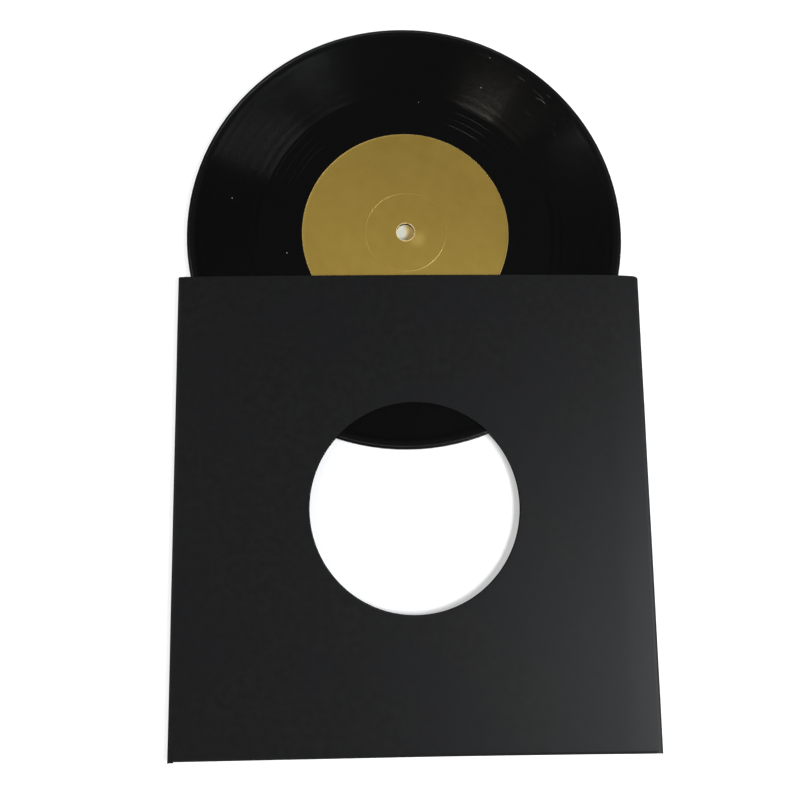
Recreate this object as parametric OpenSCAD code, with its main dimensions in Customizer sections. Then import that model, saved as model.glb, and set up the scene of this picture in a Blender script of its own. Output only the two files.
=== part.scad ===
// A small vinyl record, half drawn from its die-cut card sleeve.
// The sleeve lies on its back with the mouth towards +Y, and the record slides along Y.
// The origin is on the table, below the middle of the whole length. Sizes are in millimetres.

/* [Record] */
// Diameter of the disc over its rim
disc_d = 174.6; // [170:0.1:180]
// Diameter of the spindle hole
spindle_hole_d = 7.24; // [7:0.01:8]
// Thickness of the raised middle, labels included
middle_t = 1.9; // [1.7:0.05:2.6]
// Thickness where the grooves are
playing_t = 1.24; // [1:0.02:1.6]
// Thickness of the bead along the rim
bead_t = 1.7; // [1.6:0.05:2.4]
// Width of the bead, from the rim inwards
bead_w = 1.5; // [1.2:0.1:2.5]
// Width of the slope from the bead down to the lead-in
bead_slope_w = 1.4; // [0.6:0.1:2]
// Radial depth of the rim's rounding
rim_round = 0.8; // [0.4:0.05:1.1]
// Width of the smooth lead-in strip
lead_in_w = 0.5; // [0.2:0.1:1]
// Inner diameter of the playing band
band_inner_d = 117.6; // [106:0.2:140]
// Depth of the playing band, half the depth of a groove
band_depth = 0.03; // [0.01:0.005:0.06]
// Diameter of the locked groove in the run-out
locked_groove_d = 98; // [95:0.5:103]
// Width of the locked groove at the surface
locked_groove_w = 0.16; // [0.08:0.02:0.3]
// Depth of the locked groove
locked_groove_depth = 0.06; // [0.03:0.01:0.1]
// Width of the slope from the raised middle down to the run-out
middle_slope_w = 3.8; // [2:0.1:4.5]

/* [Labels] */
// Diameter of a paper label
label_d = 82.8; // [78:0.1:84]
// Thickness of the label paper
label_t = 0.12; // [0.08:0.01:0.2]
// Hairline between the paper's edge and the vinyl around it
label_edge_gap = 0.05; // [0.02:0.01:0.2]
// Width of the flat vinyl shoulder around the label
shoulder_w = 0.75; // [0.3:0.05:1.5]
// Diameter of the fine raised ring pressed into the label
press_ring_d = 32.3; // [20:0.1:60]
// Width of the raised ring
press_ring_w = 0.4; // [0.2:0.05:1]
// Height of the raised ring
press_ring_h = 0.05; // [0.02:0.01:0.1]

/* [Sleeve] */
// Thickness of the card
card_t = 0.4; // [0.25:0.01:0.6]
// Room beside the record at each side of the pocket
side_play = 3.95; // [2.5:0.05:6]
// Room above the record's rim below the mouth, with the record pushed home
depth_play = 8.3; // [4:0.1:12]
// Diameter of the window cut through both panels
window_d = 81.5; // [60:0.2:100]
// How far the window's centre lies to the right of the sleeve's middle
window_shift = 0.8; // [0:0.1:2]
// How far the back panel's edges lie inside the sleeve's outline
back_inset = 0.3; // [0:0.05:0.5]
// Width of a glue flap
flap_w = 12; // [8:0.5:30]
// How far a flap's ends slant along the sleeve
flap_slant = 4; // [1:0.5:10]
// Thickness of the dried glue
glue_t = 0.05; // [0.03:0.01:0.1]
// Margin of bare flap around a glue line
glue_margin = 2; // [0.5:0.5:3]
// Width of the flat strip that a side crease takes with it
crease_strip = 1; // [0.5:0.1:2]
// How far the left crease sits nearer the closed end than the panels
crease_slip = 0.4; // [0:0.1:1]
// Width of the slanted corner where the right crease meets the mouth
corner_cut_w = 1.5; // [0.3:0.1:2]
// Length of that slanted corner along the crease
corner_cut_l = 2; // [0.3:0.1:4]
// Width and length of the small corner at the left crease
left_corner_cut = 0.5; // [0.2:0.1:1]

/* [Place of the record] */
// How far the record is drawn out of the sleeve, from the pushed-home place
drawn_out = 113.1; // [0:0.1:180]
// How far the record lies to the left in the pocket
record_shift = 1.45; // [0:0.05:2]
// Free height above and below the record in the pocket
slide_gap = 0.15; // [0.1:0.05:0.5]
// Gap between the rim and the closed end, with the record pushed home
home_gap = 0.3; // [0.2:0.05:1]

/* [Hidden] */
$fn = 96;
// Steps in a smooth slope of the disc, and in the rounding of its rim
slope_steps = 8;
rim_steps = 6;
// How far a cutting shape runs past the face that it cuts
overrun = 1;

vinyl_colour = "#101010";
paper_colour = "#93803a";
card_colour = "#242424";
glue_colour = "#d8d2c0";

disc_r = disc_d / 2;
hole_r = spindle_hole_d / 2;
label_r = label_d / 2;
recess_r = label_r + label_edge_gap;
shoulder_r = recess_r + shoulder_w;
slope_foot_r = shoulder_r + middle_slope_w;
locked_r = locked_groove_d / 2;
band_inner_r = band_inner_d / 2;
bead_r = disc_r - bead_w;
bead_foot_r = bead_r - bead_slope_w;
band_outer_r = bead_foot_r - lead_in_w;
rim_r = disc_r - rim_round;
press_ring_r = press_ring_d / 2;

// Heights above the disc's own middle plane
middle_z = middle_t / 2;
paper_z = middle_z - label_t;
playing_z = playing_t / 2;
bead_z = bead_t / 2;

// Heights above the table
flap_z = card_t + glue_t;
flap_top = flap_z + card_t;
record_z = slide_gap + max(flap_top + bead_z, card_t + middle_z + press_ring_h);
front_z = record_z + max(middle_z + press_ring_h, bead_z) + slide_gap;
sleeve_t = front_z + card_t;

sleeve_w = disc_d + 2 * (side_play + card_t);
sleeve_h = card_t + disc_d + depth_play;
spine_r = sleeve_t / 2;
crease_r = (sleeve_t - flap_z) / 2;
panel_edge = sleeve_w / 2 - crease_r - crease_strip;

// Places along Y, with the whole length centred on the origin
record_from_end = card_t + home_gap + disc_r + drawn_out;
whole_length = crease_slip + max(record_from_end + disc_r, sleeve_h);
closed_y = crease_slip - whole_length / 2;
mouth_y = closed_y + sleeve_h;
spine_y = closed_y + spine_r;
record_y = closed_y + record_from_end;
window_y = closed_y + sleeve_h / 2;

// A smooth S-shaped slope between two points of a profile, without its end points
function slope(r0, z0, r1, z1) = [
    for (i = [1 : slope_steps - 1])
        let (t = i / slope_steps)
        [r0 + (r1 - r0) * t, z0 + (z1 - z0) * (1 - cos(180 * t)) / 2]
];

// The rim's rounding from the bead's face to the middle plane, a quarter of an ellipse
function rim_curve() = [
    for (i = [0 : rim_steps - 1])
        let (a = 90 * i / rim_steps)
        [rim_r + rim_round * sin(a), bead_z * cos(a)]
];

// The fine raised ring as three points on a face at height z
function press_ring(z) = [
    [press_ring_r - press_ring_w / 2, z],
    [press_ring_r, z + press_ring_h],
    [press_ring_r + press_ring_w / 2, z]
];

function turned_back(points) = [for (i = [len(points) - 1 : -1 : 0]) points[i]];

// One face of the disc, from the spindle hole out to the rim
function disc_face() = concat(
    [[hole_r, paper_z]],
    press_ring(paper_z),
    [[recess_r, paper_z], [recess_r, middle_z], [shoulder_r, middle_z]],
    slope(shoulder_r, middle_z, slope_foot_r, playing_z),
    [[slope_foot_r, playing_z]],
    [
        [locked_r - locked_groove_w / 2, playing_z],
        [locked_r, playing_z - locked_groove_depth],
        [locked_r + locked_groove_w / 2, playing_z]
    ],
    [
        [band_inner_r, playing_z],
        [band_inner_r + band_depth, playing_z - band_depth],
        [band_outer_r - band_depth, playing_z - band_depth],
        [band_outer_r, playing_z],
        [bead_foot_r, playing_z]
    ],
    slope(bead_foot_r, playing_z, bead_r, bead_z),
    [[bead_r, bead_z]],
    rim_curve()
);

// Puts a piece of the record at the record's place
module at_record() {
    translate([-record_shift, record_y, record_z]) children();
}

// The pressed disc: both faces are alike, and they meet at the rim
module vinyl_disc() {
    upper = disc_face();
    lower = [for (p = turned_back(upper)) [p[0], -p[1]]];
    color(vinyl_colour)
        at_record()
            rotate_extrude()
                polygon(concat(upper, [[disc_r, 0]], lower));
}

// A paper label, flush with the raised middle and pressed into its recess.
// The spindle hole is punched through vinyl and paper at once, so they share its wall.
module label() {
    under = concat([[hole_r, paper_z]], press_ring(paper_z), [[label_r, paper_z]]);
    face = concat([[hole_r, middle_z]], press_ring(middle_z), [[label_r, middle_z]]);
    color(paper_colour)
        rotate_extrude()
            polygon(concat(under, turned_back(face)));
}

module label_side_a() {
    at_record() label();
}

module label_side_b() {
    at_record() rotate([180, 0, 0]) label();
}

// The die-cut window, as a cutter through a panel that lies at height z
module window(z) {
    translate([window_shift, window_y, z - overrun])
        cylinder(d = window_d, h = card_t + 2 * overrun);
}

module sleeve_front_panel() {
    color(card_colour)
        difference() {
            translate([-panel_edge, spine_y, front_z])
                cube([2 * panel_edge, mouth_y - spine_y, card_t]);
            window(front_z);
        }
}

module sleeve_back_panel() {
    half_w = sleeve_w / 2 - back_inset;
    color(card_colour)
        difference() {
            translate([-half_w, spine_y, 0])
                cube([2 * half_w, mouth_y - back_inset - spine_y, card_t]);
            window(0);
        }
}

// Card bent half round a line along +Z, with its bulge towards +Y
module bent_card(r, length) {
    rotate_extrude(angle = 180)
        translate([r - card_t, 0])
            square([card_t, length]);
}

// The closed end: the card runs from the back panel round into the front panel
module sleeve_spine_fold() {
    color(card_colour)
        translate([-panel_edge, spine_y, spine_r])
            rotate([180, -90, 0])
                bent_card(spine_r, 2 * panel_edge);
}

// A side crease for the right side: from the front panel round into the glue flap
module side_crease(slip, cut_w, cut_l) {
    edge_x = sleeve_w / 2;
    start_y = closed_y - slip;
    end_y = mouth_y - slip;
    color(card_colour)
        difference() {
            union() {
                translate([edge_x - crease_r, start_y, flap_z + crease_r])
                    rotate([-90, -90, 0])
                        bent_card(crease_r, end_y - start_y);
                for (z = [flap_z, front_z])
                    translate([panel_edge, start_y, z])
                        cube([crease_strip, end_y - start_y, card_t]);
            }
            translate([edge_x, end_y, 0])
                linear_extrude(sleeve_t + overrun)
                    polygon([
                        [-cut_w, 0], [0, -cut_l], [overrun, -cut_l],
                        [overrun, overrun], [-cut_w, overrun]
                    ]);
        }
}

module sleeve_right_fold() {
    side_crease(0, corner_cut_w, corner_cut_l);
}

module sleeve_left_fold() {
    mirror([1, 0, 0]) side_crease(crease_slip, left_corner_cut, left_corner_cut);
}

// A strip along the side of the pocket with slanted ends: the flap, or the glue inside its margin
module side_strip(outer_x, width, start_y, end_y, z, t) {
    translate([0, 0, z])
        linear_extrude(t)
            polygon([
                [outer_x, start_y], [outer_x, end_y],
                [outer_x - width, end_y - flap_slant],
                [outer_x - width, start_y + flap_slant]
            ]);
}

flap_start_y = spine_y;
flap_end_y = mouth_y - corner_cut_l;

module glue_flap() {
    color(card_colour)
        side_strip(panel_edge, flap_w, flap_start_y, flap_end_y, flap_z, card_t);
}

module glue_line() {
    color(glue_colour)
        side_strip(
            panel_edge - glue_margin, flap_w - 2 * glue_margin,
            flap_start_y + glue_margin, flap_end_y - glue_margin, card_t, glue_t
        );
}

module right_glue_flap() {
    glue_flap();
}

module left_glue_flap() {
    mirror([1, 0, 0]) glue_flap();
}

module right_glue_line() {
    glue_line();
}

module left_glue_line() {
    mirror([1, 0, 0]) glue_line();
}

vinyl_disc();
label_side_a();
label_side_b();
sleeve_front_panel();
sleeve_back_panel();
sleeve_spine_fold();
sleeve_left_fold();
sleeve_right_fold();
left_glue_flap();
right_glue_flap();
left_glue_line();
right_glue_line();
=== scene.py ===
# %% [markdown]
# # A small vinyl record, half drawn from its card sleeve
#
# This lesson dresses an engineering model of a 45 rpm record and its black die-cut sleeve. The
# model comes packed as a frame: its nodes already have the right size and place, and they stay
# where they are. Each visible piece is made again here with the detail that a render needs, such
# as a true spiral groove, a pressed paper label and softened card edges, and each piece says which
# node it stands for and which body it moves with.

# %% Load the frame
from math import cos, pi, radians, sin

import bmesh
import bpy
import numpy as np
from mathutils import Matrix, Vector


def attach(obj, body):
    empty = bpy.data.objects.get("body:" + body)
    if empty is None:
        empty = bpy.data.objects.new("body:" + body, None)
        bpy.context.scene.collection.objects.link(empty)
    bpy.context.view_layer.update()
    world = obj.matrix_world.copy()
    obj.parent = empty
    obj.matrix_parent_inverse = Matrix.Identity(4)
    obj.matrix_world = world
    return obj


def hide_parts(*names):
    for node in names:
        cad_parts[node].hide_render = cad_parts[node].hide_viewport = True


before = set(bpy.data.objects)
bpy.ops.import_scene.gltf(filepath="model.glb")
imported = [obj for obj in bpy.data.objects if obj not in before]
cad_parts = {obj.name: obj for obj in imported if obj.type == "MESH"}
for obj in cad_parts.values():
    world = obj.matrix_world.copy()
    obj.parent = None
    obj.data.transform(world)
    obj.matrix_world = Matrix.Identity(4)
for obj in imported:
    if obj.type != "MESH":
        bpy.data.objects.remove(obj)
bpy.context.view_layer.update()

# %% [markdown]
# ## Units, and one way to make every mesh
#
# Shapes are easier to read in millimetres, so every surface below is worked out in millimetres and
# scaled once, where its mesh is made. A mesh could be drawn by hand, or built from Blender's
# primitives and modifiers. Here each one is a grid of points computed by numpy, because a record
# is nothing but circles and spirals, which a formula describes exactly. Doubled points are merged
# afterwards, and the enclosed volume is printed: a positive one means that the faces point out.

# %% Make a mesh and tie it to the frame
MM = 0.001
MERGE_DISTANCE = 0.0008 * MM
SHARP_ANGLE = radians(29)


def grid_faces(rows, cols, close_rows=False, close_cols=False, first=0):
    """Quads of a grid of points, point (i, j) having the number first + i * cols + j.

    Each quad runs (i, j), (i, j + 1), (i + 1, j + 1), (i + 1, j). A closed direction joins its
    last line to its first one.
    """
    i, j = np.meshgrid(
        np.arange(rows if close_rows else rows - 1),
        np.arange(cols if close_cols else cols - 1), indexing="ij",
    )
    below, right = (i + 1) % rows, (j + 1) % cols
    corners = [i * cols + j, i * cols + right, below * cols + right, below * cols + j]
    return first + np.stack(corners, axis=-1).reshape(-1, 4)


def make_piece(name, points, faces, stands_for, body, marks=None):
    """One closed mesh from points in millimetres and lists of corner numbers.

    marks gives numbers per point, kept on the mesh under their names for the material to read.
    """
    mesh = bpy.data.meshes.new(name)
    mesh.from_pydata((np.reshape(points, (-1, 3)) * MM).tolist(), [], faces)
    for mark, values in (marks or {}).items():
        mesh.attributes.new(mark, "FLOAT", "POINT").data.foreach_set("value", np.ravel(values))
    work = bmesh.new()
    work.from_mesh(mesh)
    bmesh.ops.remove_doubles(work, verts=work.verts, dist=MERGE_DISTANCE)
    loose = sum(not edge.is_manifold for edge in work.edges)
    volume = work.calc_volume(signed=True) / MM**3
    triangles = sum(len(face.verts) - 2 for face in work.faces)
    work.to_mesh(mesh)
    work.free()
    mesh.shade_smooth()
    mesh.set_sharp_from_angle(angle=SHARP_ANGLE)
    piece = bpy.data.objects.new(name, mesh)
    bpy.context.scene.collection.objects.link(piece)
    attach(piece, body)
    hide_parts(stands_for)
    print(f"{name}: {triangles} triangles, {volume:.0f} mm3, {loose} open edges")
    return piece


# %% [markdown]
# ## The vinyl disc: its profile
#
# A record is pressed from a puck of PVC between two heated stampers. Its profile tells what each
# zone is for: a raised middle that carries the label, a smooth run-out, the playing band, and a
# bead along the rim that keeps the grooves of stacked records apart. The rim is trimmed after
# pressing, so its rounding is squarish, and a fine ridge beside it catches the light. The profile
# is drawn from the rim inwards, in radius and height above the disc's middle plane, and then
# carried round a circle. Its steps are those of the engineering model, with more points where the
# light would show facets.

# %% The disc's measures and its profile
DISC_MIDDLE = np.array([-1.45, 57.1, 1.85])
DISC_R, RIM_R, BEAD_R, BEAD_FOOT_R = 87.3, 86.5, 85.8, 84.4
TRIM_R, TRIM_W, TRIM_H = 86.15, 0.09, 0.085
BAND_OUTER_R, BAND_INNER_R = 83.9, 58.8
LOCKED_R, LOCKED_HALF, LOCKED_DEPTH = 49.0, 0.045, 0.045
SLOPE_FOOT_R, SHOULDER_R, RECESS_R, HOLE_R = 46.0, 42.2, 41.45, 3.62
MIDDLE_Z, PAPER_Z, PLAYING_Z, BEAD_Z = 0.95, 0.83, 0.62, 0.85


def eased(t):
    """A smooth step from 0 to 1: three times t squared, less twice t cubed."""
    t = np.clip(t, 0, 1)
    return t * t * (3 - 2 * t)


def slope(r0, z0, r1, z1, steps):
    """Points of an S-shaped slope: the height follows half a cosine wave over the radius."""
    t = np.linspace(0, 1, steps + 1)
    return np.stack([r0 + (r1 - r0) * t, z0 + (z1 - z0) * (1 - np.cos(pi * t)) / 2], axis=-1)


def bell(distance, width):
    """A bell curve of height 1: e to the power of minus the square of distance over width."""
    return np.exp(-((distance / width) ** 2))


def outer_profile():
    """From the rim's middle plane over its rounding, trimming ridge and bead to the bead's foot.

    The rounding is a squarish quarter: the square roots of a circle's cosine and sine.
    """
    a = np.linspace(0, pi / 2, 13)
    out, up = np.sqrt(np.cos(a).clip(0)), np.sqrt(np.sin(a))
    rim = np.stack([RIM_R + (DISC_R - RIM_R) * out, BEAD_Z * up], axis=-1)
    r = TRIM_R + TRIM_W * np.linspace(2.2, -2.2, 7)
    ridge = np.stack([r, BEAD_Z + TRIM_H * bell(r - TRIM_R, TRIM_W)], axis=-1)
    return np.concatenate([rim, ridge, slope(BEAD_R, BEAD_Z, BEAD_FOOT_R, PLAYING_Z, 8)])


def inner_profile():
    """From just outside the locked groove over the slope and the label's recess to the hole."""
    groove = [
        (LOCKED_R + 2.5 * LOCKED_HALF, PLAYING_Z), (LOCKED_R + LOCKED_HALF, PLAYING_Z),
        (LOCKED_R, PLAYING_Z - LOCKED_DEPTH), (LOCKED_R - LOCKED_HALF, PLAYING_Z),
    ]
    rise = slope(SLOPE_FOOT_R, PLAYING_Z, SHOULDER_R, MIDDLE_Z, 10)
    recess = [(RECESS_R, MIDDLE_Z), (RECESS_R, PAPER_Z), (HOLE_R, PAPER_Z), (HOLE_R, 0)]
    return np.concatenate([groove, rise, recess])


print("profile points:", len(outer_profile()), "outer,", len(inner_profile()), "inner")

# %% [markdown]
# ## The groove: one long spiral
#
# The groove is a V with walls at 45 degrees, and it is one single line from rim to run-out. Rings
# would be simpler, but a spiral is what the stylus follows and what bends the light, so it is made
# as one here. Three rails run along it: the outer lip, the bottom and the inner lip. Point number
# i lies i steps along the spiral, and one turn has a fixed number of steps, so the inner lip of
# one turn and the outer lip of the next are a whole turn apart in number. That makes the flat land
# between them a plain grid too. The groove is a little wider where the music is louder, which
# gives the fine rings of lighter and darker sheen that every record has.

# %% The spiral's radius and width
TURN_STEPS = 116
LEAD_IN_TURNS, BAND_TURNS, LEAD_OUT_TURNS = 1, 119, 3
TURNS = LEAD_IN_TURNS + BAND_TURNS + LEAD_OUT_TURNS
GROOVE_HALF = 0.045
rng = np.random.default_rng(45)


def groove_radius(turn):
    """Radius against turns from the start: straight stretches for lead-in, band and lead-out."""
    knots = np.cumsum([0, LEAD_IN_TURNS, BAND_TURNS, LEAD_OUT_TURNS])
    return np.interp(turn, knots, [BEAD_FOOT_R - 0.1, BAND_OUTER_R, BAND_INNER_R, LOCKED_R + 0.3])


def groove_half_width(turn):
    """Half the groove's width: its mean times a sum of slow and quick waves, faded at both ends."""
    periods = rng.uniform(1.7, 23, 14)
    phases = rng.uniform(0, 2 * pi, 14)
    waves = np.sin(2 * pi * turn[:, None] / periods + phases).sum(axis=1) / 14**0.5
    fade = eased(turn / 0.05) * eased((TURNS - turn) / 0.05)
    return GROOVE_HALF * fade * (1 + 0.24 * np.clip(waves, -1.6, 1.6))


steps = np.arange(TURNS * TURN_STEPS + 1)
turn = steps / TURN_STEPS
groove_r, groove_w = groove_radius(turn), groove_half_width(turn)
pitch = (BAND_OUTER_R - BAND_INNER_R) / BAND_TURNS
print(f"pitch {pitch:.3f} mm, groove {2 * groove_w.max():.3f} mm wide at most")

# %% [markdown]
# ## Closing the disc
#
# The spiral has to join the round rings on both sides of it without a hole. Between a ring and the
# first turn lies a strip that grows from nothing to one pitch, and its last face meets the point
# where the groove begins, so that one face gets a fifth corner. The same happens at the other end.
# Side B is the same face turned over about the X axis. A turn, unlike a mirror image, leaves the
# faces pointing outwards, and the two halves meet point for point at the rim and in the hole.

# %% Build one face, turn it over and close the disc


def around(radius, height, step_numbers, turn_steps=TURN_STEPS):
    """Points on circles: radius times cosine and sine of the step's angle, at that height."""
    angle = 2 * pi * (step_numbers % turn_steps) / turn_steps
    return np.stack(
        np.broadcast_arrays(radius * np.cos(angle), radius * np.sin(angle), height), axis=-1
    )


def turned_over(points):
    """Half a turn about the X axis: y and z change sign."""
    return points * [1, -1, -1]


def disc_side():
    """Points and faces of one face of the disc, about its own middle."""
    ring = np.arange(TURN_STEPS)
    outer = np.stack([around(r, z, ring) for r, z in outer_profile()])
    inner = np.stack([around(r, z, ring) for r, z in inner_profile()])
    rails = np.stack([
        around(groove_r + groove_w, PLAYING_Z, steps),
        around(groove_r, PLAYING_Z - groove_w, steps),
        around(groove_r - groove_w, PLAYING_Z, steps),
    ])
    count, rail = TURN_STEPS, len(steps)
    spiral_at = outer.shape[0] * count
    inner_at = spiral_at + 3 * rail
    lip, far_lip = spiral_at, spiral_at + 2 * rail
    ring_at = spiral_at - count
    walls = grid_faces(3, rail, first=spiral_at)
    k = np.arange(rail - 1 - count)
    land = np.stack([far_lip + k, far_lip + k + 1, lip + k + 1 + count, lip + k + count], axis=-1)
    j = np.arange(count)
    next_j = (j + 1) % count
    start = np.stack([ring_at + j, ring_at + next_j, lip + j + 1, lip + j], axis=-1)
    last = far_lip + rail - 1 - count
    end = np.stack([last + j, last + j + 1, inner_at + next_j, inner_at + j], axis=-1)
    faces = np.concatenate([
        grid_faces(outer.shape[0], count, close_cols=True), walls, land, start[:-1], end[1:],
        grid_faces(inner.shape[0], count, close_cols=True, first=inner_at),
    ]).tolist()
    faces.append([ring_at + count - 1, ring_at, lip, lip + count, lip + count - 1])
    faces.append([last, last + 1, inner_at + 1, inner_at, far_lip + rail - 1])
    points = np.concatenate([block.reshape(-1, 3) for block in (outer, rails, inner)])
    return points, faces


def both_sides(points, faces):
    """One face of the record and the same face turned over."""
    shifted = [[corner + len(points) for corner in face] for face in faces]
    return np.concatenate([points, turned_over(points)]), faces + shifted


disc_points, disc_faces = both_sides(*disc_side())
disc_faces = [list(dict.fromkeys(face)) for face in disc_faces]
vinyl_pressing = make_piece(
    "vinyl_pressing", disc_points + DISC_MIDDLE, disc_faces, "vinyl_disc", "record"
)

# %% [markdown]
# ## The paper labels
#
# Each label is a disc of uncoated paper printed with a metallic ink, pressed into the vinyl while
# it is hot. The stamper leaves a fine raised ring in it, and the punched hole leaves torn fibres
# that stand up as a pale burr with a few nibs. The label is a flat ring, closed into a solid: its
# profile runs from the outer edge over the top to the hole and back underneath. The height over
# the top is a sum of bell curves: narrow ones for the pressed ring, the burr and the lip along the
# die-cut edge, wide ones for the swelling round the hole and for a small bump beside it. Low waves
# are added to them, because paper is never quite flat.

# %% Label surfaces
LABEL_R, LABEL_STEPS, LABEL_UNDER_Z = 41.4, 240, PAPER_Z + 0.002
RING_R, RING_W, RING_H = 16.15, 0.12, 0.07
BURR_R, BURR_W, BURR_H = 3.78, 0.16, 0.07
LIP_R, LIP_W, LIP_H = 41.2, 0.1, 0.09
SWELLING_W, SWELLING_H = 2.4, 0.06
BUMP_X, BUMP_Y, BUMP_W, BUMP_H = 4.4, -2.4, 1.9, 0.1
TORN_R, TORN_MEAN, TORN_WAVE = 4.6, 0.05, 0.035
EDGE_WAVE = PAPER_WAVE = 0.012
# Nibs of torn paper: where they point in degrees, their length and their spread in degrees
NIBS_A = [(214, 0.22, 7), (266, 0.3, 5), (38, 0.1, 9)]
NIBS_B = [(120, 0.2, 6), (310, 0.15, 8)]


def circle_waves(angle, counts, draw):
    """Waves that close round a circle: sines with whole numbers of periods and drawn phases."""
    phases = draw.uniform(0, 2 * pi, len(counts))
    return sum(np.sin(n * angle + p) for n, p in zip(counts, phases)) / len(counts) ** 0.5


def label_radii():
    """Radii of the label's rings, close together at the hole, the pressed ring and the edge."""
    return np.concatenate([
        [LABEL_R, LABEL_R - 0.03], LIP_R + np.linspace(0.9, -2, 5) * LIP_W, np.linspace(40, 18, 12),
        RING_R + np.linspace(1, -1, 17) * 3.2 * RING_W, np.linspace(15, 5.4, 11),
        np.linspace(TORN_R, HOLE_R, 10),
    ])


def label_side(seed, nibs):
    """Points and faces of a label about the disc's middle.

    The hole's edge is torn: waves and nibs move it inwards, fading to nothing at TORN_R. The die
    cut the outer edge, so only low waves move it. seed and the order of the draws fix the waves.
    """
    draw = np.random.default_rng(seed)
    angle = 2 * pi * np.arange(LABEL_STEPS)[None, :] / LABEL_STEPS
    radius = label_radii()[:, None]
    hole_edge = TORN_MEAN + TORN_WAVE * circle_waves(angle, (5, 9, 14, 22, 37), draw)
    for where, length, spread in nibs:
        off = np.abs((angle - radians(where) + pi) % (2 * pi) - pi)
        hole_edge = hole_edge + length * bell(off, radians(spread))
    near_hole = np.clip((TORN_R - radius) / (TORN_R - HOLE_R), 0, 1) ** 3
    trimmed = radius - near_hole * np.clip(hole_edge, 0, None)
    edge_waves = EDGE_WAVE * circle_waves(angle, (3, 7, 19, 31), draw)
    trimmed = trimmed + edge_waves * eased((radius - 40) / 1.4)
    x, y = trimmed * np.cos(angle), trimmed * np.sin(angle)
    burr = BURR_H * (0.75 + 0.35 * circle_waves(angle, (4, 11, 17, 29), draw))
    height = (
        MIDDLE_Z + RING_H * bell(radius - RING_R, RING_W) + LIP_H * bell(radius - LIP_R, LIP_W)
        + burr * bell(radius - BURR_R, BURR_W) + SWELLING_H * bell(radius - HOLE_R, SWELLING_W)
        + BUMP_H * bell(np.hypot(x - BUMP_X, y - BUMP_Y), BUMP_W)
        + PAPER_WAVE * np.sin(0.15 * x + 0.1 * y + 1) * np.sin(0.13 * y - 0.07 * x)
    )
    height = np.where(radius >= LABEL_R, MIDDLE_Z - 0.03, height)
    top = np.stack([x, y, height], axis=-1)
    under = top[[-1, 0]] * [1, 1, 0] + [0, 0, LABEL_UNDER_Z]
    points = np.concatenate([top, under])
    return points, grid_faces(len(points), LABEL_STEPS, True, True).tolist()


side_a, label_faces = label_side(7, NIBS_A)
side_b, _ = label_side(8, NIBS_B)
label_a = make_piece(
    "label_a", side_a + DISC_MIDDLE, label_faces, "label_side_a", "record"
)
label_b = make_piece(
    "label_b", turned_over(side_b) + DISC_MIDDLE, label_faces, "label_side_b", "record",
)

# %% [markdown]
# ## Card: a sheet with two faces and four borders
#
# The sleeve is one sheet of black card, die-cut, creased, folded and glued. Each stretch of it is
# a thin sheet: a middle surface, and two faces half a thickness away from it on either side. At a
# cut border the two faces come a little closer together, which takes the sharp corner off as the
# die's bevel does. Solidify and Bevel modifiers could do the same. Working both faces out directly
# lets neighbouring stretches meet exactly at their crease, with no bevel where the card runs on.

# %% Card sheets
CARD_T, CUT_SOFT = 0.4, 0.045


def card_sheet(middle, normal, half, closed_rows=False, flip=False):
    """Points and faces of a thin solid: middle plus and minus half along normal.

    middle is a grid of points. Its first direction may be closed; the borders get walls. Seen
    against the normal, first along a row and then to the next row is a turn to the left, and flip
    is for a grid where it is one to the right.
    """
    rows, cols = middle.shape[:2]
    offset = np.broadcast_to(half, (rows, cols))[..., None] * normal
    points = np.concatenate([middle + offset, middle - offset])
    face = grid_faces(rows, cols, close_rows=closed_rows)
    back = face[:, ::-1] + rows * cols
    number = np.arange(rows * cols).reshape(rows, cols)
    if closed_rows:
        borders = [np.append(number[:, 0], 0), np.append(number[::-1, -1], number[-1, -1])]
    else:
        borders = [np.concatenate([
            number[:, 0], number[-1, 1:], number[-2::-1, -1], number[0, -2::-1]
        ])]
    walls = [
        np.stack([line[:-1], line[1:], line[1:] + rows * cols, line[:-1] + rows * cols], axis=-1)
        for line in borders
    ]
    faces = np.concatenate([face, back, *walls])
    return points.reshape(-1, 3), (faces[:, ::-1] if flip else faces).tolist()


# %% [markdown]
# ## The two panels
#
# Both panels are rectangles with a round window. Straight lines from the window's middle outwards
# meet the window's edge and the rectangle's outline, and between the two lies the sheet, so the
# grid runs round the window in one direction and outwards in the other. The four corners of the
# outline are always among the directions. The front panel is cut only along its lip at the mouth,
# and the back panel on every side but the closed end. On a real sleeve the lip isn't quite
# straight, so it dips a little towards the folds. The sleeve was folded by hand or by a hurried
# machine, so it is also a little out of square, by half a millimetre.

# %% Panels with their window
WINDOW = np.array([0.8, -52.35])
WINDOW_R, PANEL_EDGE, SPINE_Y, MOUTH_Y = 40.65, 89.175, -142.3, 39.3
BACK_INSET, FRONT_MID_Z, BACK_MID_Z = 0.3, 3.2, 0.2
SLEEVE_EDGE, CLOSED_Y, SIDE_STEPS = 91.65, -144.0, 60
# How far the lower right corner reaches out, to the right and down, and where that begins
CORNER_RIGHT, CORNER_DOWN, RIGHT_FROM_X, DOWN_FROM_Y = 0.4, 0.62, 45, -95
# Places along the lip and how far it dips there, towards the closed end, fading over DIP_FADE
DIP_FADE = 25
LIP_X = [-88.7, -83, -67, -43, 0, 20, 36, 60, 76, 84, 87, 89.4, 90.6, 91.65]
LIP_DIP = [0.32, 0.29, 0.15, 0.08, 0.04, 0.12, 0.18, 0.3, 0.46, 0.68, 0.78, 0.98, 1.3, 2.1]


def lip_dip(x):
    """How far the lip lies below its straight line, between the measured places."""
    return np.interp(x, LIP_X, LIP_DIP)


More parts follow.
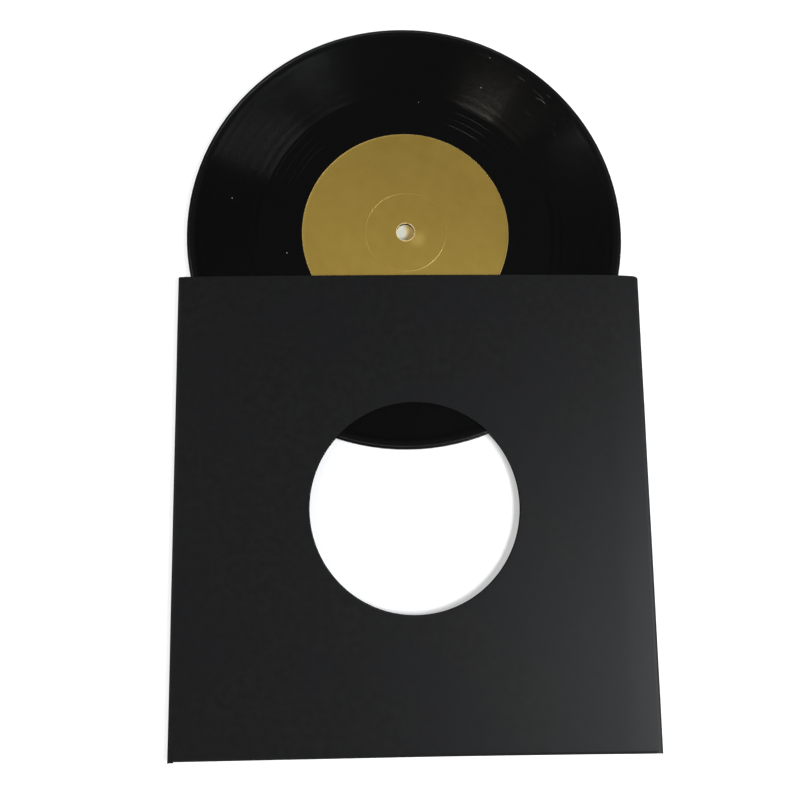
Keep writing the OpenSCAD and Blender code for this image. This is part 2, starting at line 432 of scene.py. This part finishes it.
def outline_distance(angle, low, high):
    """From the window's middle to a rectangle's outline: the nearer of the two sides ahead."""
    c, s = np.cos(angle), np.sin(angle)
    to_x = (np.where(c > 0, high[0], low[0]) - WINDOW[0]) / np.where(np.abs(c) < 1e-9, 1e-9, c)
    to_y = (np.where(s > 0, high[1], low[1]) - WINDOW[1]) / np.where(np.abs(s) < 1e-9, 1e-9, s)
    return np.minimum(to_x, to_y)


def panel_sheet(low, high, mid_z, cut_sides, dips):
    """A panel between two corners with the window in it.

    Directions run round the window to the left. Outwards, the distance goes from the window's
    edge to the outline, with a close line at each end for the soft edge. cut_sides is a function
    of x and y that is 1 at a cut outline and 0 at a crease. dips says whether the lip dips.
    """
    corners = [(low[0], low[1]), (high[0], low[1]), (high[0], high[1]), (low[0], high[1])]
    at = [np.arctan2(y - WINDOW[1], x - WINDOW[0]) for x, y in corners]
    at = np.unwrap(at + at[:1])
    angle = np.concatenate([
        np.linspace(a, b, SIDE_STEPS, endpoint=False) for a, b in zip(at[:-1], at[1:])
    ])[:, None]
    reach = outline_distance(angle, low, high)
    share = np.array([0, 0, 0.02, 0.1, 0.25, 0.4, 0.55, 0.7, 0.85, 0.95, 1, 1])[None, :]
    nudge = np.array([0, CUT_SOFT] + [0] * 8 + [-CUT_SOFT, 0])[None, :]
    distance = WINDOW_R + (reach - WINDOW_R) * share + nudge
    x, y = WINDOW[0] + distance * np.cos(angle), WINDOW[1] + distance * np.sin(angle)
    if dips:
        y = y - lip_dip(x) * eased((y - (high[1] - DIP_FADE)) / DIP_FADE)
    half = np.full(x.shape, CARD_T / 2)
    half[:, 0] -= CUT_SOFT
    half[:, -1] -= CUT_SOFT * cut_sides(x[:, -1], y[:, -1])
    middle = np.stack([x, y, np.full(x.shape, mid_z)], axis=-1)
    return card_sheet(middle, np.array([0, 0, 1]), half, closed_rows=True)


def out_of_square(points):
    """The folded sleeve leans: its lower right corner reaches a little further than a square's.

    To the right it grows with a smooth step towards the right edge and with the share of the way
    down. Downwards it grows with x to the power of one and a half, near the closed end only.
    """
    x, y, _ = points.T
    right = eased((x - RIGHT_FROM_X) / (SLEEVE_EDGE - RIGHT_FROM_X))
    way_down = (MOUTH_Y - y) / (MOUTH_Y - CLOSED_Y)
    near_end = eased((DOWN_FROM_Y - y) / (DOWN_FROM_Y - CLOSED_Y))
    below = np.clip(x / SLEEVE_EDGE, 0, 1) ** 1.5 * near_end
    shift = np.stack([CORNER_RIGHT * right * way_down, -CORNER_DOWN * below, 0 * x], axis=-1)
    return points + shift


def card_piece(name, sheet, node, lean=0.0):
    """A stretch of the sleeve's sheet, made into the piece that stands for one node.

    lean says, line by line, how far the card leans from level: 0 lying flat, 1 upright.
    """
    points, faces = sheet
    lean = np.reshape(lean, (1, -1, 1))
    marks = {"lean": np.broadcast_to(lean, (2, lean.size, len(points) // (2 * lean.size)))}
    return make_piece(name, out_of_square(points), faces, node, "sleeve", marks)


front_sheet = panel_sheet(
    (-PANEL_EDGE, SPINE_Y), (PANEL_EDGE, MOUTH_Y), FRONT_MID_Z,
    lambda x, y: y > MOUTH_Y - 1.2, True,
)
front_card = card_piece("front_card", front_sheet, "sleeve_front_panel")
BACK_EDGE = SLEEVE_EDGE - BACK_INSET
back_sheet = panel_sheet(
    (-BACK_EDGE, SPINE_Y), (BACK_EDGE, MOUTH_Y - BACK_INSET), BACK_MID_Z,
    lambda x, y: y > SPINE_Y + 0.01, False,
)
back_card = card_piece("back_card", back_sheet, "sleeve_back_panel")

# %% [markdown]
# ## The folds
#
# Where the sheet is folded it runs half round a small circle. The card is scored first, so a
# shallow furrow runs along the start of the bend, and it shows in the photograph as a thin lighter
# line. A fold is a profile, flat strip, half circle and strip, carried along the edge. Its end at
# the mouth follows the dipping lip and the corner that was trimmed off. How far the card leans is
# kept on the mesh: the material paints the bend darker where it turns away, as painted shade, and
# makes it duller.

# %% Spine and side folds
CREASE_R, CREASE_STRIP, FLAP_Z, SPINE_R = 1.475, 1.0, 0.45, 1.7
CREASE_SLIP, CLOSED_ROUND, ARC_STEPS, FOLD_STEPS = 0.4, 0.6, 18, 120
SCORE_H, SCORE_W, SCORE_AT = -0.05, 0.2, 0.1
LEFT_CUT_L, LEFT_CUT_W, FOLD_WAVE = 0.45, 0.6, 0.05
# The soft edge as a share of a fold's length, which is about 180 mm
CUT_SHARE = CUT_SOFT / 180


def bend(radius, strip):
    """Half-round profile: distance along it, offsets out and up, and its two normals.

    It starts on top at the strip's far end, goes out round the half circle and comes back below.
    """
    a = np.linspace(pi / 2, -pi / 2, ARC_STEPS + 1)
    out, up = radius * np.cos(a), radius * np.sin(a)
    lead = np.array([1, 0.5, 0.25])[: 3 if strip else 0] * strip
    out = np.concatenate([-lead, out, -lead[::-1]])
    up = np.concatenate([0 * lead + radius, up, 0 * lead - radius])
    n_out = np.concatenate([0 * lead, np.cos(a), 0 * lead])
    n_up = np.concatenate([0 * lead + 1, np.sin(a), 0 * lead - 1])
    along = np.concatenate([-lead, radius * (pi / 2 - a), radius * pi + lead[::-1]])
    return along, out, up, n_out, n_up


def fold_half(along, length_share):
    """Half the card's thickness: less along the score on top and at the two cut ends."""
    score = SCORE_H * bell(along - SCORE_AT, SCORE_W)[:, None]
    ends = ((length_share == 0) | (length_share == 1))[None, :]
    return CARD_T / 2 + score - CUT_SOFT * ends


def lengthwise():
    """Shares of a fold's length, with a close line at each end for the soft cut edge."""
    return np.sort(np.append(np.linspace(0, 1, FOLD_STEPS), [CUT_SHARE, 1 - CUT_SHARE]))


def side_fold(side):
    """The right fold for side 1 and the left one for side -1, from front panel to glue flap."""
    along, out, up, n_out, n_up = bend(CREASE_R - CARD_T / 2, CREASE_STRIP)
    share = lengthwise()
    x = PANEL_EDGE + CREASE_STRIP + out
    height = FLAP_Z + CREASE_R + up
    start = CLOSED_Y + CLOSED_ROUND * (height / SPINE_R - 1) ** 2
    if side > 0:
        end = MOUTH_Y - lip_dip(x)
    else:
        start = start - CREASE_SLIP
        end = MOUTH_Y - CREASE_SLIP - LEFT_CUT_L * eased((x - SLEEVE_EDGE) / LEFT_CUT_W + 1)
    y = start[:, None] + (end - start)[:, None] * share
    wave = FOLD_WAVE * np.sin(y / 17 + side) * np.sin(y / 41 + 2 * side)
    xs = x[:, None] - np.abs(wave) * n_out[:, None]
    z = np.broadcast_to(height[:, None], y.shape)
    middle = np.stack([side * xs, y, z], axis=-1)
    normal = np.stack([side * n_out, 0 * n_out, n_up], axis=-1)[:, None, :]
    return card_sheet(middle, normal, fold_half(along, share), flip=side > 0)


def spine_fold():
    """The closed end, from the front panel round into the back panel."""
    along, out, up, n_out, n_up = bend(SPINE_R - CARD_T / 2, 0)
    share = lengthwise()
    x = np.broadcast_to(PANEL_EDGE * (2 * share - 1), (len(along), len(share)))
    y = np.broadcast_to((SPINE_Y - out)[:, None], x.shape)
    z = np.broadcast_to((SPINE_R + up)[:, None], x.shape)
    normal = np.stack([0 * n_out, -n_out, n_up], axis=-1)[:, None, :]
    half = fold_half(along, share)
    half[:, [0, -1]] = half[:, [1, -2]]
    return card_sheet(np.stack([x, y, z], axis=-1), normal, half, flip=True)


side_lean = 1 - np.abs(bend(CREASE_R, CREASE_STRIP)[4])
spine_lean = 1 - np.abs(bend(SPINE_R, 0)[4])
right_fold = card_piece("right_fold", side_fold(1), "sleeve_right_fold", side_lean)
left_fold = card_piece("left_fold", side_fold(-1), "sleeve_left_fold", side_lean)
closed_end = card_piece("closed_end", spine_fold(), "sleeve_spine_fold", spine_lean)

# %% [markdown]
# ## Flaps and glue
#
# Each side crease ends in a flap that is glued to the back panel inside the pocket. The flaps are
# plain strips with slanted ends. The glue between them and the back panel is a film that hardly
# ever shows, so its nodes stay as the engineering model has them and only get a finish.

# %% Glue flaps
FLAP_W, FLAP_SLANT, FLAP_END_Y = 12.0, 4.0, MOUTH_Y - 2


def flap_sheet(side):
    """A strip from the crease inwards: its two ends slant by an even share of its width."""
    inward = np.array([0, 0.1, 0.4, 0.7, 1 - CUT_SOFT / FLAP_W, 1])[:, None]
    if side < 0:
        inward = inward[::-1]
    share = lengthwise()[None, :]
    start, end = SPINE_Y + FLAP_SLANT * inward, FLAP_END_Y - FLAP_SLANT * inward
    y = start + (end - start) * share
    x = np.broadcast_to(side * (PANEL_EDGE - FLAP_W * inward), y.shape)
    cut = (share == 0) | (share == 1) | (inward == 1)
    middle = np.stack([x, y, np.full(y.shape, FLAP_Z + CARD_T / 2)], axis=-1)
    return card_sheet(middle, np.array([0, 0, 1]), CARD_T / 2 - CUT_SOFT * cut)


right_flap = card_piece("right_flap", flap_sheet(1), "right_glue_flap")
left_flap = card_piece("left_flap", flap_sheet(-1), "left_glue_flap")

# %% [markdown]
# ## Shader maths as plain arithmetic
#
# A procedural material is a graph of small nodes. Wired one by one, even a short formula becomes
# hard to read, so a socket is wrapped in a class here and arithmetic on it adds the Math nodes.
# Colours are never fed to a Math node, which would turn them grey: they go through Mix nodes.

# %% A socket that can be calculated with


class Value:
    """A number leaving a node's socket; plus, minus, times and so on add Math nodes to it."""

    def __init__(self, maker, socket):
        self.maker, self.socket = maker, socket

    def math(self, operation, *others):
        """The named operation of a Math node on this number and the others."""
        inputs = dict(enumerate((self, *others)))
        return self.maker.add("ShaderNodeMath", {"operation": operation}, inputs)

    def __add__(self, other):
        return self.math("ADD", other)

    def __mul__(self, other):
        return self.math("MULTIPLY", other)

    def __sub__(self, other):
        return self.math("SUBTRACT", other)

    def __rsub__(self, other):
        return (self * -1) + other

    def __truediv__(self, other):
        return self.math("DIVIDE", other)

    __radd__, __rmul__ = __add__, __mul__

    def between(self, low, high):
        """0 below low, 1 above high and a smooth step from one to the other.

        With the limits the other way round it is the same step falling instead of rising.
        """
        return self.maker.add(
            "ShaderNodeMapRange", {"interpolation_type": "SMOOTHSTEP"},
            {"Value": self, "From Min": low, "From Max": high},
        )


class Maker:
    """Adds nodes to one tree."""

    def __init__(self, tree):
        self.tree = tree
        tree.nodes.clear()

    def add(self, kind, settings=None, inputs=None, out=0):
        """One output of a new node of that kind; inputs says what its sockets are fed."""
        node = self.tree.nodes.new(kind)
        for key, value in (settings or {}).items():
            setattr(node, key, value)
        for key, value in (inputs or {}).items():
            if isinstance(value, Value):
                self.tree.links.new(value.socket, node.inputs[key])
            else:
                node.inputs[key].default_value = value
        return Value(self, node.outputs[out]) if node.outputs else node

    def colour(self, factor, first, second):
        """The first colour where factor is 0 and the second where it is 1."""
        return self.add(
            "ShaderNodeMix", {"data_type": "RGBA"}, {0: factor, 6: first, 7: second}, out=2
        )

    def place(self, middle=(0, 0, 0), stretch=(1, 1, 1)):
        """The piece's own coordinates in millimetres, from middle and stretched per axis."""
        own = self.add("ShaderNodeTexCoord", out=3)
        scale = [s / MM for s in stretch]
        shift = [-m * s for m, s in zip(middle, stretch)]
        return self.add(
            "ShaderNodeMapping", {}, {"Vector": own, "Location": shift, "Scale": scale}
        )

    def noise(self, vector, per_mm, detail=2.0, roughness=0.5):
        """Soft random blobs from 0 to 1, per_mm of them to the millimetre."""
        return self.add(
            "ShaderNodeTexNoise", {},
            {"Vector": vector, "Scale": per_mm, "Detail": detail, "Roughness": roughness},
        )

    def bump(self, height, unit_mm):
        """A normal that leans as if the surface stood out by height times unit_mm millimetres."""
        return self.add(
            "ShaderNodeBump", {}, {"Height": height, "Distance": unit_mm * MM, "Strength": 1.0}
        )

    def axes(self, vector):
        """The three coordinates of a vector."""
        split = self.add("ShaderNodeSeparateXYZ", {}, {0: vector}).socket.node
        return [Value(self, output) for output in split.outputs]

    def length(self, vector):
        """The length of a vector: the root of the sum of its squared coordinates."""
        return self.add("ShaderNodeVectorMath", {"operation": "LENGTH"}, {0: vector}, out=1)

    def rays(self):
        """Three switches: 1 for a camera ray, for a mirrored one and for one passing through."""
        outputs = self.add("ShaderNodeLightPath").socket.node.outputs
        kinds = ("Is Camera Ray", "Is Glossy Ray", "Is Transmission Ray")
        return [Value(self, outputs[kind]) for kind in kinds]


def rgb(red, green, blue):
    """A colour written as on a screen, 0 to 255, turned into the linear light Blender uses."""
    share = np.array([red, green, blue]) / 255
    linear = np.where(share <= 0.04045, share / 12.92, ((share + 0.055) / 1.055) ** 2.4)
    return (*linear.tolist(), 1.0)


def new_material(name):
    """An empty material and the maker that fills its tree."""
    material = bpy.data.materials.new(name)
    material.use_nodes = True
    return material, Maker(material.node_tree)


def finish(name, inputs, constants):
    """A material: inputs(maker) gives what varies, constants what is the same all over."""
    material, maker = new_material(name)
    shader = maker.add("ShaderNodeBsdfPrincipled", {}, {**constants, **inputs(maker)})
    maker.add("ShaderNodeOutputMaterial", {}, {"Surface": shader})
    return material


# %% [markdown]
# ## The finish of the vinyl
#
# Record PVC is coloured with carbon black, so nearly all that is seen of it is reflection. The
# grooves already exist as geometry and scatter the lamps into the two bright wedges of a record.
# What is left for the material is the fine life of the surface: a haze that changes slowly, a
# played band that is a little duller, a rim bead that fingers have dulled more, hair lines, a
# rubbed place where the record slides in and out, and some specks of dust. Lines along the turns
# need a coordinate that follows the circle without a seam. Direction, which is position divided by
# radius, has none. The wall of the punched hole is rough and dark brown.

# %% Vinyl
LINES_PER_MM, LINE_STRETCH = 5, 3
SCUFFS_PER_MM, SCUFF_STRETCH = 4, 9
DUST_PER_MM = 0.07
BLACK_PVC, HOLE_WALL_BROWN, DUST_GREY = rgb(8, 8, 8), rgb(30, 21, 13), rgb(186, 182, 172)


def vinyl_inputs(m):
    """Base colour, roughness and normal of the pressed vinyl.

    Each speck of dust sits at the middle of a random cell: the size noise says how large it is
    and lets most cells go without. The rubbed place is a wedge round the direction in which x and
    y are alike, where their sum over the radius comes near its largest value, the root of two.
    """
    place = m.place(DISC_MIDDLE)
    x, y, _ = m.axes(place)
    radius = (x * x + y * y).math("SQRT")

    def drawn_round(stretch, per_mm):
        """Coordinates that follow the turns: the direction times stretch, then the radius."""
        turned = {0: x / radius * stretch, 1: y / radius * stretch, 2: radius * per_mm}
        return m.add("ShaderNodeCombineXYZ", {}, turned)

    hair = m.noise(drawn_round(LINE_STRETCH, LINES_PER_MM), 1.0, 3.0, 0.6).between(0.52, 0.78)
    haze = m.noise(place, 0.05, 3.0).between(0.3, 0.7)
    cells = {"Vector": place, "Scale": DUST_PER_MM}
    to_middle = m.add("ShaderNodeTexVoronoi", {"voronoi_dimensions": "2D"}, cells) / DUST_PER_MM
    size = m.noise(place, 0.1).between(0.57, 0.7)
    dust = 1 - to_middle.between(0.1, size * 0.16 + 0.18)
    rubbed = ((x + y) / radius).between(1.25, 1.38) * radius.between(66, 82)
    scuff = m.noise(drawn_round(SCUFF_STRETCH, SCUFFS_PER_MM), 1.0, 1.0).between(0.75, 0.8)
    speck = (dust * size.between(0.05, 0.3)).math("MAXIMUM", scuff * rubbed * 0.4)
    punched = 1 - radius.between(HOLE_R + 0.04, HOLE_R + 0.1)
    played = radius.between(58.3, 59.2) * (1 - radius.between(84, BEAD_FOOT_R))
    handled = radius.between(83.8, 85)
    dark = m.colour(punched, BLACK_PVC, HOLE_WALL_BROWN)
    dull = (speck * 0.5).math("MAXIMUM", punched * 0.85)
    return {
        "Base Color": m.colour(speck * 0.8, dark, DUST_GREY),
        "Roughness": hair * 0.05 + haze * 0.03 + played * 0.04 + handled * 0.14 + dull + 0.1,
        "Normal": m.bump(m.noise(place, 0.5, 2.0), 0.0015),
    }


vinyl = finish("pressed black vinyl", vinyl_inputs, {"IOR": 1.54})

# %% [markdown]
# ## The finish of the label
#
# Gold ink on uncoated paper: the ink holds tiny metal flakes, so it shines a little, but the paper
# under it breaks the shine up. The colour is mottled because the paper drinks the ink unevenly.
# Its two shades are painted light and shade: the gold is painted lighter towards the near left.
# At the hole and along the die-cut edge the bare paper shows. A paler patch to the lower right of
# the hole is a painted highlight. The crest of the pressed ring is polished a little, and it is
# painted a little paler too, as a painted highlight.

# %% Label paper
# The darker and the lighter tone of the mottled ink, on the side painted in shade and on the side
# painted in light
SHADED_SIDE_GOLD = (rgb(153, 125, 50), rgb(159, 131, 55))
LIT_SIDE_GOLD = (rgb(169, 139, 59), rgb(175, 145, 64))
# The paler gold below is a painted highlight beside the hole, and the patch's middle places it.
CLOUDED_GOLD, HIGHLIGHT_GOLD, BARE_PAPER = rgb(164, 138, 61), rgb(190, 160, 82), rgb(226, 204, 146)
HIGHLIGHT_PATCH = (4.6, -2.8, 0)


def label_inputs(m):
    """Base colour, metallic, roughness and normal of the printed paper.

    The gold is painted lighter along a slanted line, as painted light and shade: the step follows
    0.9 times x plus 1.3 times y, from 52 mm at the far right down to -41 mm at the near left.
    """
    place = m.place(DISC_MIDDLE)
    x, y, _ = m.axes(place)
    radius = (x * x + y * y).math("SQRT")
    mottle = m.noise(place, 0.2, 3.0).between(0.25, 0.75)
    cloud = m.noise(place, 0.06).between(0.35, 0.7)
    fibre = m.noise(place, 5.0, 3.0, 0.7)
    torn = 1 - (radius + m.noise(place, 2.5) * 0.5).between(3.95, 4.2)
    cut = (radius + fibre * 0.12).between(LABEL_R - 0.08, LABEL_R + 0.02)
    crest = 1 - (radius - RING_R).math("ABSOLUTE").between(0.08, 0.26)
    # Mask of the painted highlight to the lower right of the hole.
    painted_highlight = 1 - m.length(m.place(DISC_MIDDLE + HIGHLIGHT_PATCH)).between(1, 4.6)
    shaded_gold, lit_gold = (m.colour(mottle, *pair) for pair in (SHADED_SIDE_GOLD, LIT_SIDE_GOLD))
    # Painted light and shade: the gold is painted lighter towards the near left.
    gold = m.colour((x * 0.9 + y * 1.3).between(52, -41), shaded_gold, lit_gold)
    gold = m.colour(cloud * 0.4, gold, CLOUDED_GOLD)
    # Painted highlight: the gold turns paler in the patch beside the hole.
    gold = m.colour(painted_highlight * 0.8, gold, HIGHLIGHT_GOLD)
    bare = torn.math("MAXIMUM", cut * 0.55)
    return {
        # The crest of the pressed ring is painted a little paler: a painted highlight.
        "Base Color": m.colour(bare.math("MAXIMUM", crest * 0.06), gold, BARE_PAPER),
        "Metallic": 0.45 * (1 - bare),
        "Roughness": 0.46 + fibre * 0.08 + torn * 0.3 - crest * 0.14,
        "Normal": m.bump(fibre, 0.005),
    }


label_paper = finish("gold ink on paper", label_inputs, {})

# %% [markdown]
# ## The finish of the card
#
# The sleeve is dyed through, so its cut edges are as black as its faces. Its surface is a felt of
# short fibres. Two noises of different size give its mottling, and a third one, stretched along
# the grain in which the board was made, stands for the fibres themselves. A fourth, slow one only
# feeds the bump: it stands for the faint dents of handling that cloud the sheen. The bump also
# leans the card by up to two or three degrees towards its right fold, which pulls it down.

# %% Sleeve card
GRAIN_STRETCH = (1.0, 0.22, 1.0)
FIBRE_MM = 0.006
# Heights of the felt, the dents and the curl, as multiples of the fibres' height
FELT_H, DENT_H, CURL_H = 0.7, 8, 190
CURL_FROM, CURL_TO = 78, 112
# The last colour is painted shade, laid on the folds where they turn away.
DARK_CARD, PALE_CARD, CLOUDED_CARD, FOLD_SHADE_CARD = (
    rgb(21, 21, 21), rgb(26, 26, 26), rgb(23, 23, 25), rgb(6, 6, 6)
)


def card_inputs(m):
    """Base colour, roughness and normal of the black card."""
    place = m.place()
    felt = m.noise(place, 0.35, 4.0, 0.6)
    fibres = m.noise(m.place(stretch=GRAIN_STRETCH), 3.5, 3.0, 0.7)
    cloud = m.noise(place, 0.03).between(0.35, 0.65)
    dents = m.noise(place, 0.08, 3.0)
    curl = m.axes(place)[0].between(CURL_FROM, CURL_TO)
    shade = m.colour(felt.between(0.3, 0.72), DARK_CARD, PALE_CARD)
    shade = m.colour(cloud * 0.6, shade, CLOUDED_CARD)
    # How far the card leans: folds turning away get painted shade and a duller finish.
    fold_shade_and_dull = m.add("ShaderNodeAttribute", {"attribute_name": "lean"}, out=2).between(0.1, 0.35)
    return {
        # Painted shade on the folds where the card leans.
        "Base Color": m.colour(fold_shade_and_dull, shade, FOLD_SHADE_CARD),
        "Roughness": 0.42 + fibres * 0.07 + felt * 0.06 + fold_shade_and_dull * 0.3,
        "Normal": m.bump(fibres + felt * FELT_H + dents * DENT_H - curl * CURL_H, FIBRE_MM),
    }


black_card = finish("black fibre card", card_inputs, {"IOR": 1.5, "Specular IOR Level": 0.15})

# %% [markdown]
# ## The finish of the glue
#
# Dried paste is a yellowish, slightly wavy film with a soft shine.

# %% Glue
DARK_PASTE, PALE_PASTE = rgb(214, 206, 182), rgb(226, 221, 205)
STREAK_STRETCH, STREAK_MM = (1.0, 0.1, 1.0), 0.02


def glue_inputs(m):
    """Base colour, roughness and normal of the dried paste."""
    streak = m.noise(m.place(stretch=STREAK_STRETCH), 0.8, 3.0)
    return {
        "Base Color": m.colour(streak, DARK_PASTE, PALE_PASTE),
        "Roughness": 0.35 + m.noise(m.place(), 0.5) * 0.2,
        "Normal": m.bump(streak, STREAK_MM),
    }


dried_glue = finish("dried paste", glue_inputs, {})

# %% Give every piece its finish
vinyl_pressing.data.materials.append(vinyl)
for piece in (label_a, label_b):
    piece.data.materials.append(label_paper)
for piece in (front_card, back_card, right_fold, left_fold, closed_end, right_flap, left_flap):
    piece.data.materials.append(black_card)
for node in ("left_glue_line", "right_glue_line"):
    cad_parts[node].material_slots[0].material = dried_glue

# %% [markdown]
# ## The floor
#
# The record was photographed on a white surface. A lit floor bright enough to look pure white
# would wash out the object, so the camera and mirror-like reflections see a floor that mostly
# glows by itself. The lit part of it is what the object's shadow takes away, so a faint shadow
# stays. Far from the object the lamps fade, and there the glow takes over. In the sleeve's window
# the glow is weaker, which is painted shade that deepens the shadow there, and beside the sleeve it
# is stronger, which is painted light that pales the shadow. Under the spindle hole the patch of
# floor is a copy of the floor painted in shade: it hardly glows, it is painted a brownish shade
# with a faint warm painted glow to the right, and it goes with the record so that it is always
# under the hole.

# %% Floor
# Half the floor's width in metres, and the patch's radius and both heights in millimetres
FLOOR_REACH, PATCH_R, PATCH_STEPS, FLOOR_Z, PATCH_Z = 6.0, 5.5, 48, -0.02, -0.01
# Shares of glow and lit colour, and the distances in millimetres over which they change
# A weaker glow in the window is painted shade, a stronger one beside the sleeve painted light.
GLOW_NEAR, GLOW_WINDOW, GLOW_FAR, GLOW_PATCH = 0.78, 0.36, 1.0, 0.2
LIT_NEAR, LIT_WINDOW, LIT_PATCH = 0.42, 0.72, 0.8
LEAVING_WINDOW, GLOW_RISES, LIT_FADES = (48, 80), (200, 400), (260, 600)
WHITE, BLACK, SOFT_WHITE = (1, 1, 1, 1), (0, 0, 0, 1), (0.8, 0.8, 0.8, 1)
# The last two colours are the patch's painted brownish shade and its painted warm glow.
DAYLIT, PAINTED_BROWN_SHADE, PAINTED_WARM_GLOW = rgb(250, 251, 236), rgb(232, 205, 146), rgb(232, 192, 118)


def floor_piece(name, outline, material):
    """A flat face through the outline's points, given in metres; not part of the object."""
    mesh = bpy.data.meshes.new(name)
    mesh.from_pydata(outline, [], [tuple(range(len(outline)))])
    mesh.materials.append(material)
    made = bpy.data.objects.new(name, mesh)
    bpy.context.scene.collection.objects.link(made)
    return made


def floor_finish(name, inputs):
    """What the camera and mirrors see, a glow and a lit colour; soft bounces see plain white.

    inputs(maker) gives the glow's colour, its strength and the lit colour.
    """
    material, m = new_material(name)
    glow_colour, strength, lit_colour = inputs(m)
    direct, glossy, clear = m.rays()
    seen = direct.math("MAXIMUM", glossy).math("MAXIMUM", clear)
    glow = m.add("ShaderNodeEmission", {}, {"Color": glow_colour, "Strength": strength})
    lit = m.add("ShaderNodeBsdfDiffuse", {}, {"Color": lit_colour})
    plain = m.add("ShaderNodeBsdfDiffuse", {}, {"Color": SOFT_WHITE})
    both = m.add("ShaderNodeAddShader", {}, {0: glow, 1: lit})
    surface = m.add("ShaderNodeMixShader", {}, {0: seen, 1: plain, 2: both})
    m.add("ShaderNodeOutputMaterial", {}, {"Surface": surface})
    return material


def floor_inputs(m):
    """White all over, with the shares of glow and lit colour changing with the distance."""
    from_middle, from_window = (m.length(m.place((*at, 0))) for at in ((0, 0), WINDOW))
    outside, away = from_window.between(*LEAVING_WINDOW), from_middle.between(*GLOW_RISES)
    # Weaker glow in the window: painted shade; stronger glow outside it: painted light.
    glow = outside * (GLOW_NEAR - GLOW_WINDOW) + away * (GLOW_FAR - GLOW_NEAR) + GLOW_WINDOW
    lit = outside * (LIT_NEAR - LIT_WINDOW) + LIT_WINDOW
    return WHITE, glow, m.colour(lit * (1 - from_middle.between(*LIT_FADES)), BLACK, WHITE)


def patch_inputs(m):
    """Painted brownish shade and a faint painted warm glow to the right of the hole's middle."""
    # warm marks the painted brownish shade and painted warm glow to the right of the hole.
    warm = m.axes(m.place(DISC_MIDDLE))[0].between(-0.8, 1.2)
    tone = m.colour(warm, DAYLIT, PAINTED_BROWN_SHADE)
    return PAINTED_WARM_GLOW, warm * GLOW_PATCH, m.colour(LIT_PATCH, BLACK, tone)


corners = [(-1, -1), (1, -1), (1, 1), (-1, 1)]
floor_piece(
    "floor", [(x * FLOOR_REACH, y * FLOOR_REACH, FLOOR_Z * MM) for x, y in corners],
    floor_finish("white floor", floor_inputs),
)
patch_outline = around(PATCH_R, 0, np.arange(PATCH_STEPS), PATCH_STEPS) + DISC_MIDDLE
patch = floor_piece(
    "floor_under_hole", (patch_outline * [MM, MM, 0] + [0, 0, PATCH_Z * MM]).tolist(),
    floor_finish("floor in the shade", patch_inputs),
)
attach(patch, "record")

# %% [markdown]
# ## Light
#
# Vinyl shows what it mirrors. Seen from above, the flat vinyl mirrors the ceiling, so the ceiling
# is dark and the disc stays black. One wall of a groove mirrors low directions on the near side,
# and its two walls together mirror high ones, so a lamp's height decides whether it makes a wedge
# of sheen. The window light on the card and the label is a wide, soft one that stays between the
# two heights. Two weak low lamps under it make the wedge at the upper left, and two warm ones low
# on the left make that at the upper right. Two fills keep the shadows and the edges at the far
# side from going black. The camera sees white all round, but reflections see it only near the
# horizon, because the room in the photograph was dark above.

# %% Lamps and surroundings
# Heights, as sines of the elevation, between which the horizon darkens, and the ceiling's level
HORIZON_LOW, HORIZON_HIGH, CEILING = 0.02, 0.17, 0.05
scene = bpy.context.scene


def soft_lamp(name, azimuth, elevation, distance, size, white, colour=(1, 1, 1)):
    """A lamp of that width and height in metres, aimed at the object from angles in degrees.

    white is how bright it alone makes a level white surface: the power follows from that, from
    the square of the distance and from the sine of the elevation.
    """
    a, e = radians(azimuth), radians(elevation)
    away = Vector((cos(a) * cos(e), sin(a) * cos(e), sin(e)))
    data = bpy.data.lights.new(name, "AREA")
    data.shape, data.size, data.size_y = "RECTANGLE", size[0], size[1]
    data.energy = white * (pi * distance) ** 2 / sin(e)
    data.color = colour
    lamp = bpy.data.objects.new(name, data)
    lamp.location = away * distance
    lamp.rotation_euler = away.to_track_quat("Z", "Y").to_euler()
    scene.collection.objects.link(lamp)
    print(f"{name}: {data.energy:.1f} W")


soft_lamp("window light", -26, 48, 1.0, (0.6, 0.32), 0.85, (0.97, 1.0, 1.03))
soft_lamp("window sill", -15, 20, 1.3, (0.62, 0.24), 0.0105)
soft_lamp("far sill", -46, 25, 1.3, (0.6, 0.22), 0.0006)
soft_lamp("left fill", 178, 40, 1.4, (0.6, 0.6), 0.15)
soft_lamp("back fill", 85, 24, 1.5, (0.9, 0.3), 0.06)
soft_lamp("wide warm lamp", -133, 24, 1.3, (1.1, 0.28), 0.011, (1.0, 0.93, 0.8))
soft_lamp("low warm lamp", -130, 25.5, 1.3, (0.42, 0.14), 0.026, (1.0, 0.92, 0.74))

world = bpy.data.worlds.new("pale horizon and dark ceiling")
world.use_nodes = True
scene.world = world
m = Maker(world.node_tree)
up = m.axes(m.add("ShaderNodeTexCoord", out=0))[2]
direct, glossy, clear = m.rays()
mirrored = glossy.math("MAXIMUM", clear) * (1 - up.between(HORIZON_LOW, HORIZON_HIGH))
level = direct.math("MAXIMUM", mirrored) * (1 - CEILING) + CEILING
sky = m.add("ShaderNodeBackground", {}, {"Color": WHITE, "Strength": level})
m.add("ShaderNodeOutputWorld", {}, {"Surface": sky})

# %% [markdown]
# ## The camera
#
# The photograph was taken from above, a little towards the closed end and not quite level. The
# lens and the place were found by fitting the edges of the disc, label, window and sleeve.

# %% Camera
SENSOR_MM, LENS_MM = 36, 35.879
CAMERA_AT = (-0.0127184, -0.0506273, 0.3112343)
CAMERA_TURN = (0.1287242, -0.0249771, -0.0127505)

camera_data = bpy.data.cameras.new("camera")
camera_data.sensor_width, camera_data.lens = SENSOR_MM, LENS_MM
camera_data.clip_start, camera_data.clip_end = 0.01, 30
camera = bpy.data.objects.new("camera", camera_data)
camera.location, camera.rotation_euler = CAMERA_AT, CAMERA_TURN
scene.collection.objects.link(camera)
scene.camera = camera
scene.view_settings.view_transform = "Standard"
